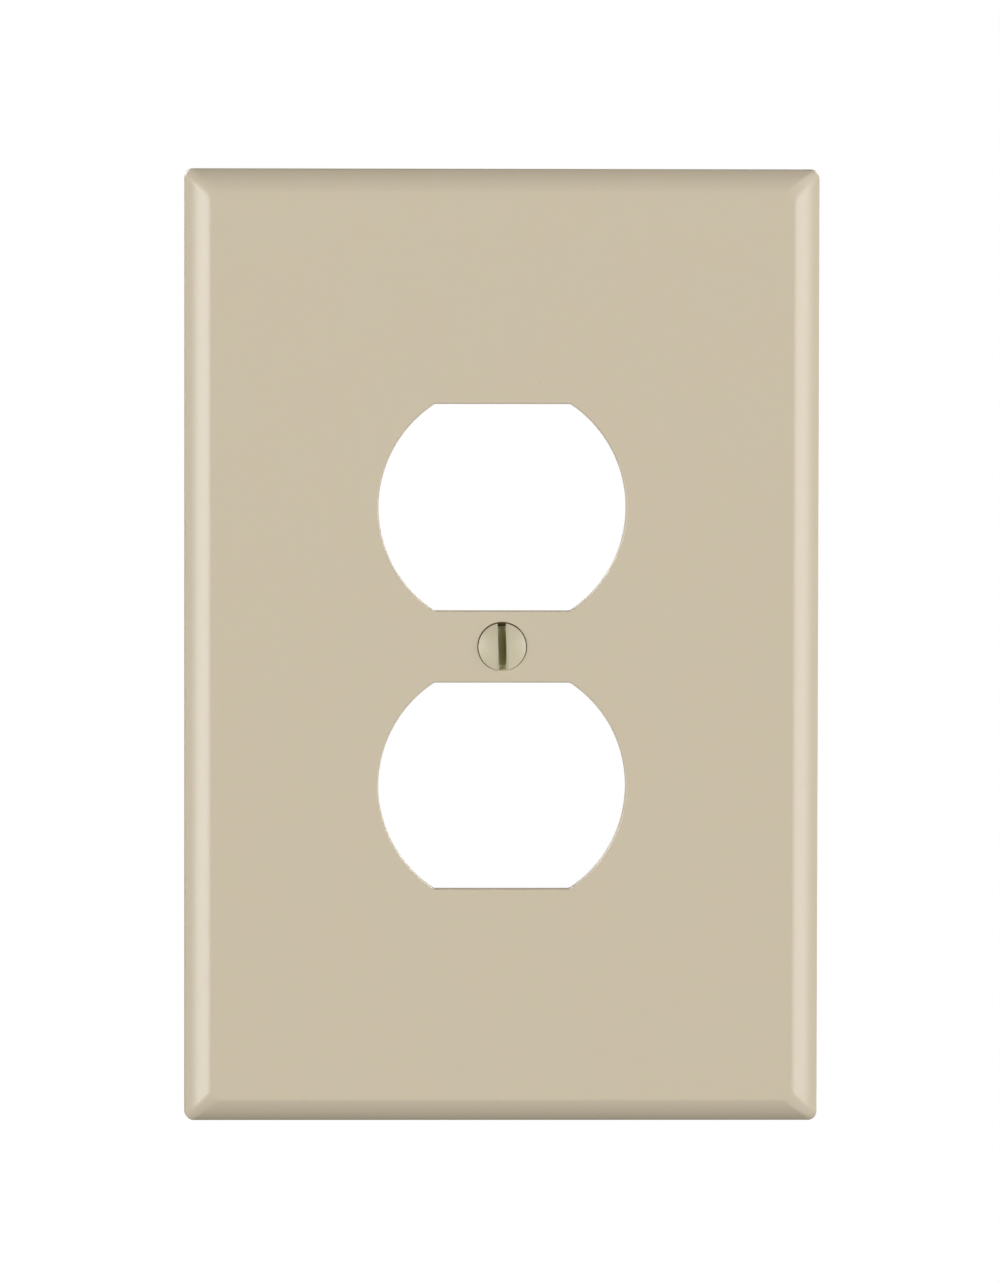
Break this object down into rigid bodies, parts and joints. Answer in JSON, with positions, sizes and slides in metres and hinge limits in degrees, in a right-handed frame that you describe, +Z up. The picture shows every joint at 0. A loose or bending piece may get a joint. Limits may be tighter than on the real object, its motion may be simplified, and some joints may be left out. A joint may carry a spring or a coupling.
{
  "type": "wall plate cover",
  "caption": "Oversized rectangular wall plate with a convex bevelled edge, round flat-sided receptacle openings and a slotted oval-head mounting screw.",
  "frame": {"origin": "on the mounting screw's axis, in the plane of the wall that the plate's rim lies on", "axes": "+Z up the plate, +Y into the wall, the face looks towards -Y"},
  "size_m": [0.0888, 0.0136, 0.1334],
  "materials": {
    "plate_ivory": "satin",
    "screw_painted_steel": "satin",
    "retainer_nylon": "satin"
  },
  "bodies": {
    "plate": {"wall_plate": "plate_ivory"},
    "retainer": {"screw_retainer": "retainer_nylon"},
    "screw": {"mounting_screw": "screw_painted_steel"}
  },
  "joints": [
    {"name": "screw_turn", "type": "hinge", "parent": "plate", "child": "retainer", "pos_m": [0, 0, 0], "axis": [0, -1, 0], "range_deg": [0, 2970]},
    {"name": "screw_travel", "type": "slide", "parent": "retainer", "child": "screw", "axis": [0, -1, 0], "range_m": [0, 0.00655]}
  ],
  "couplings": [
    {"joint": "screw_turn", "follows": "screw_travel", "rad_per_m": 7915.8}
  ]
}
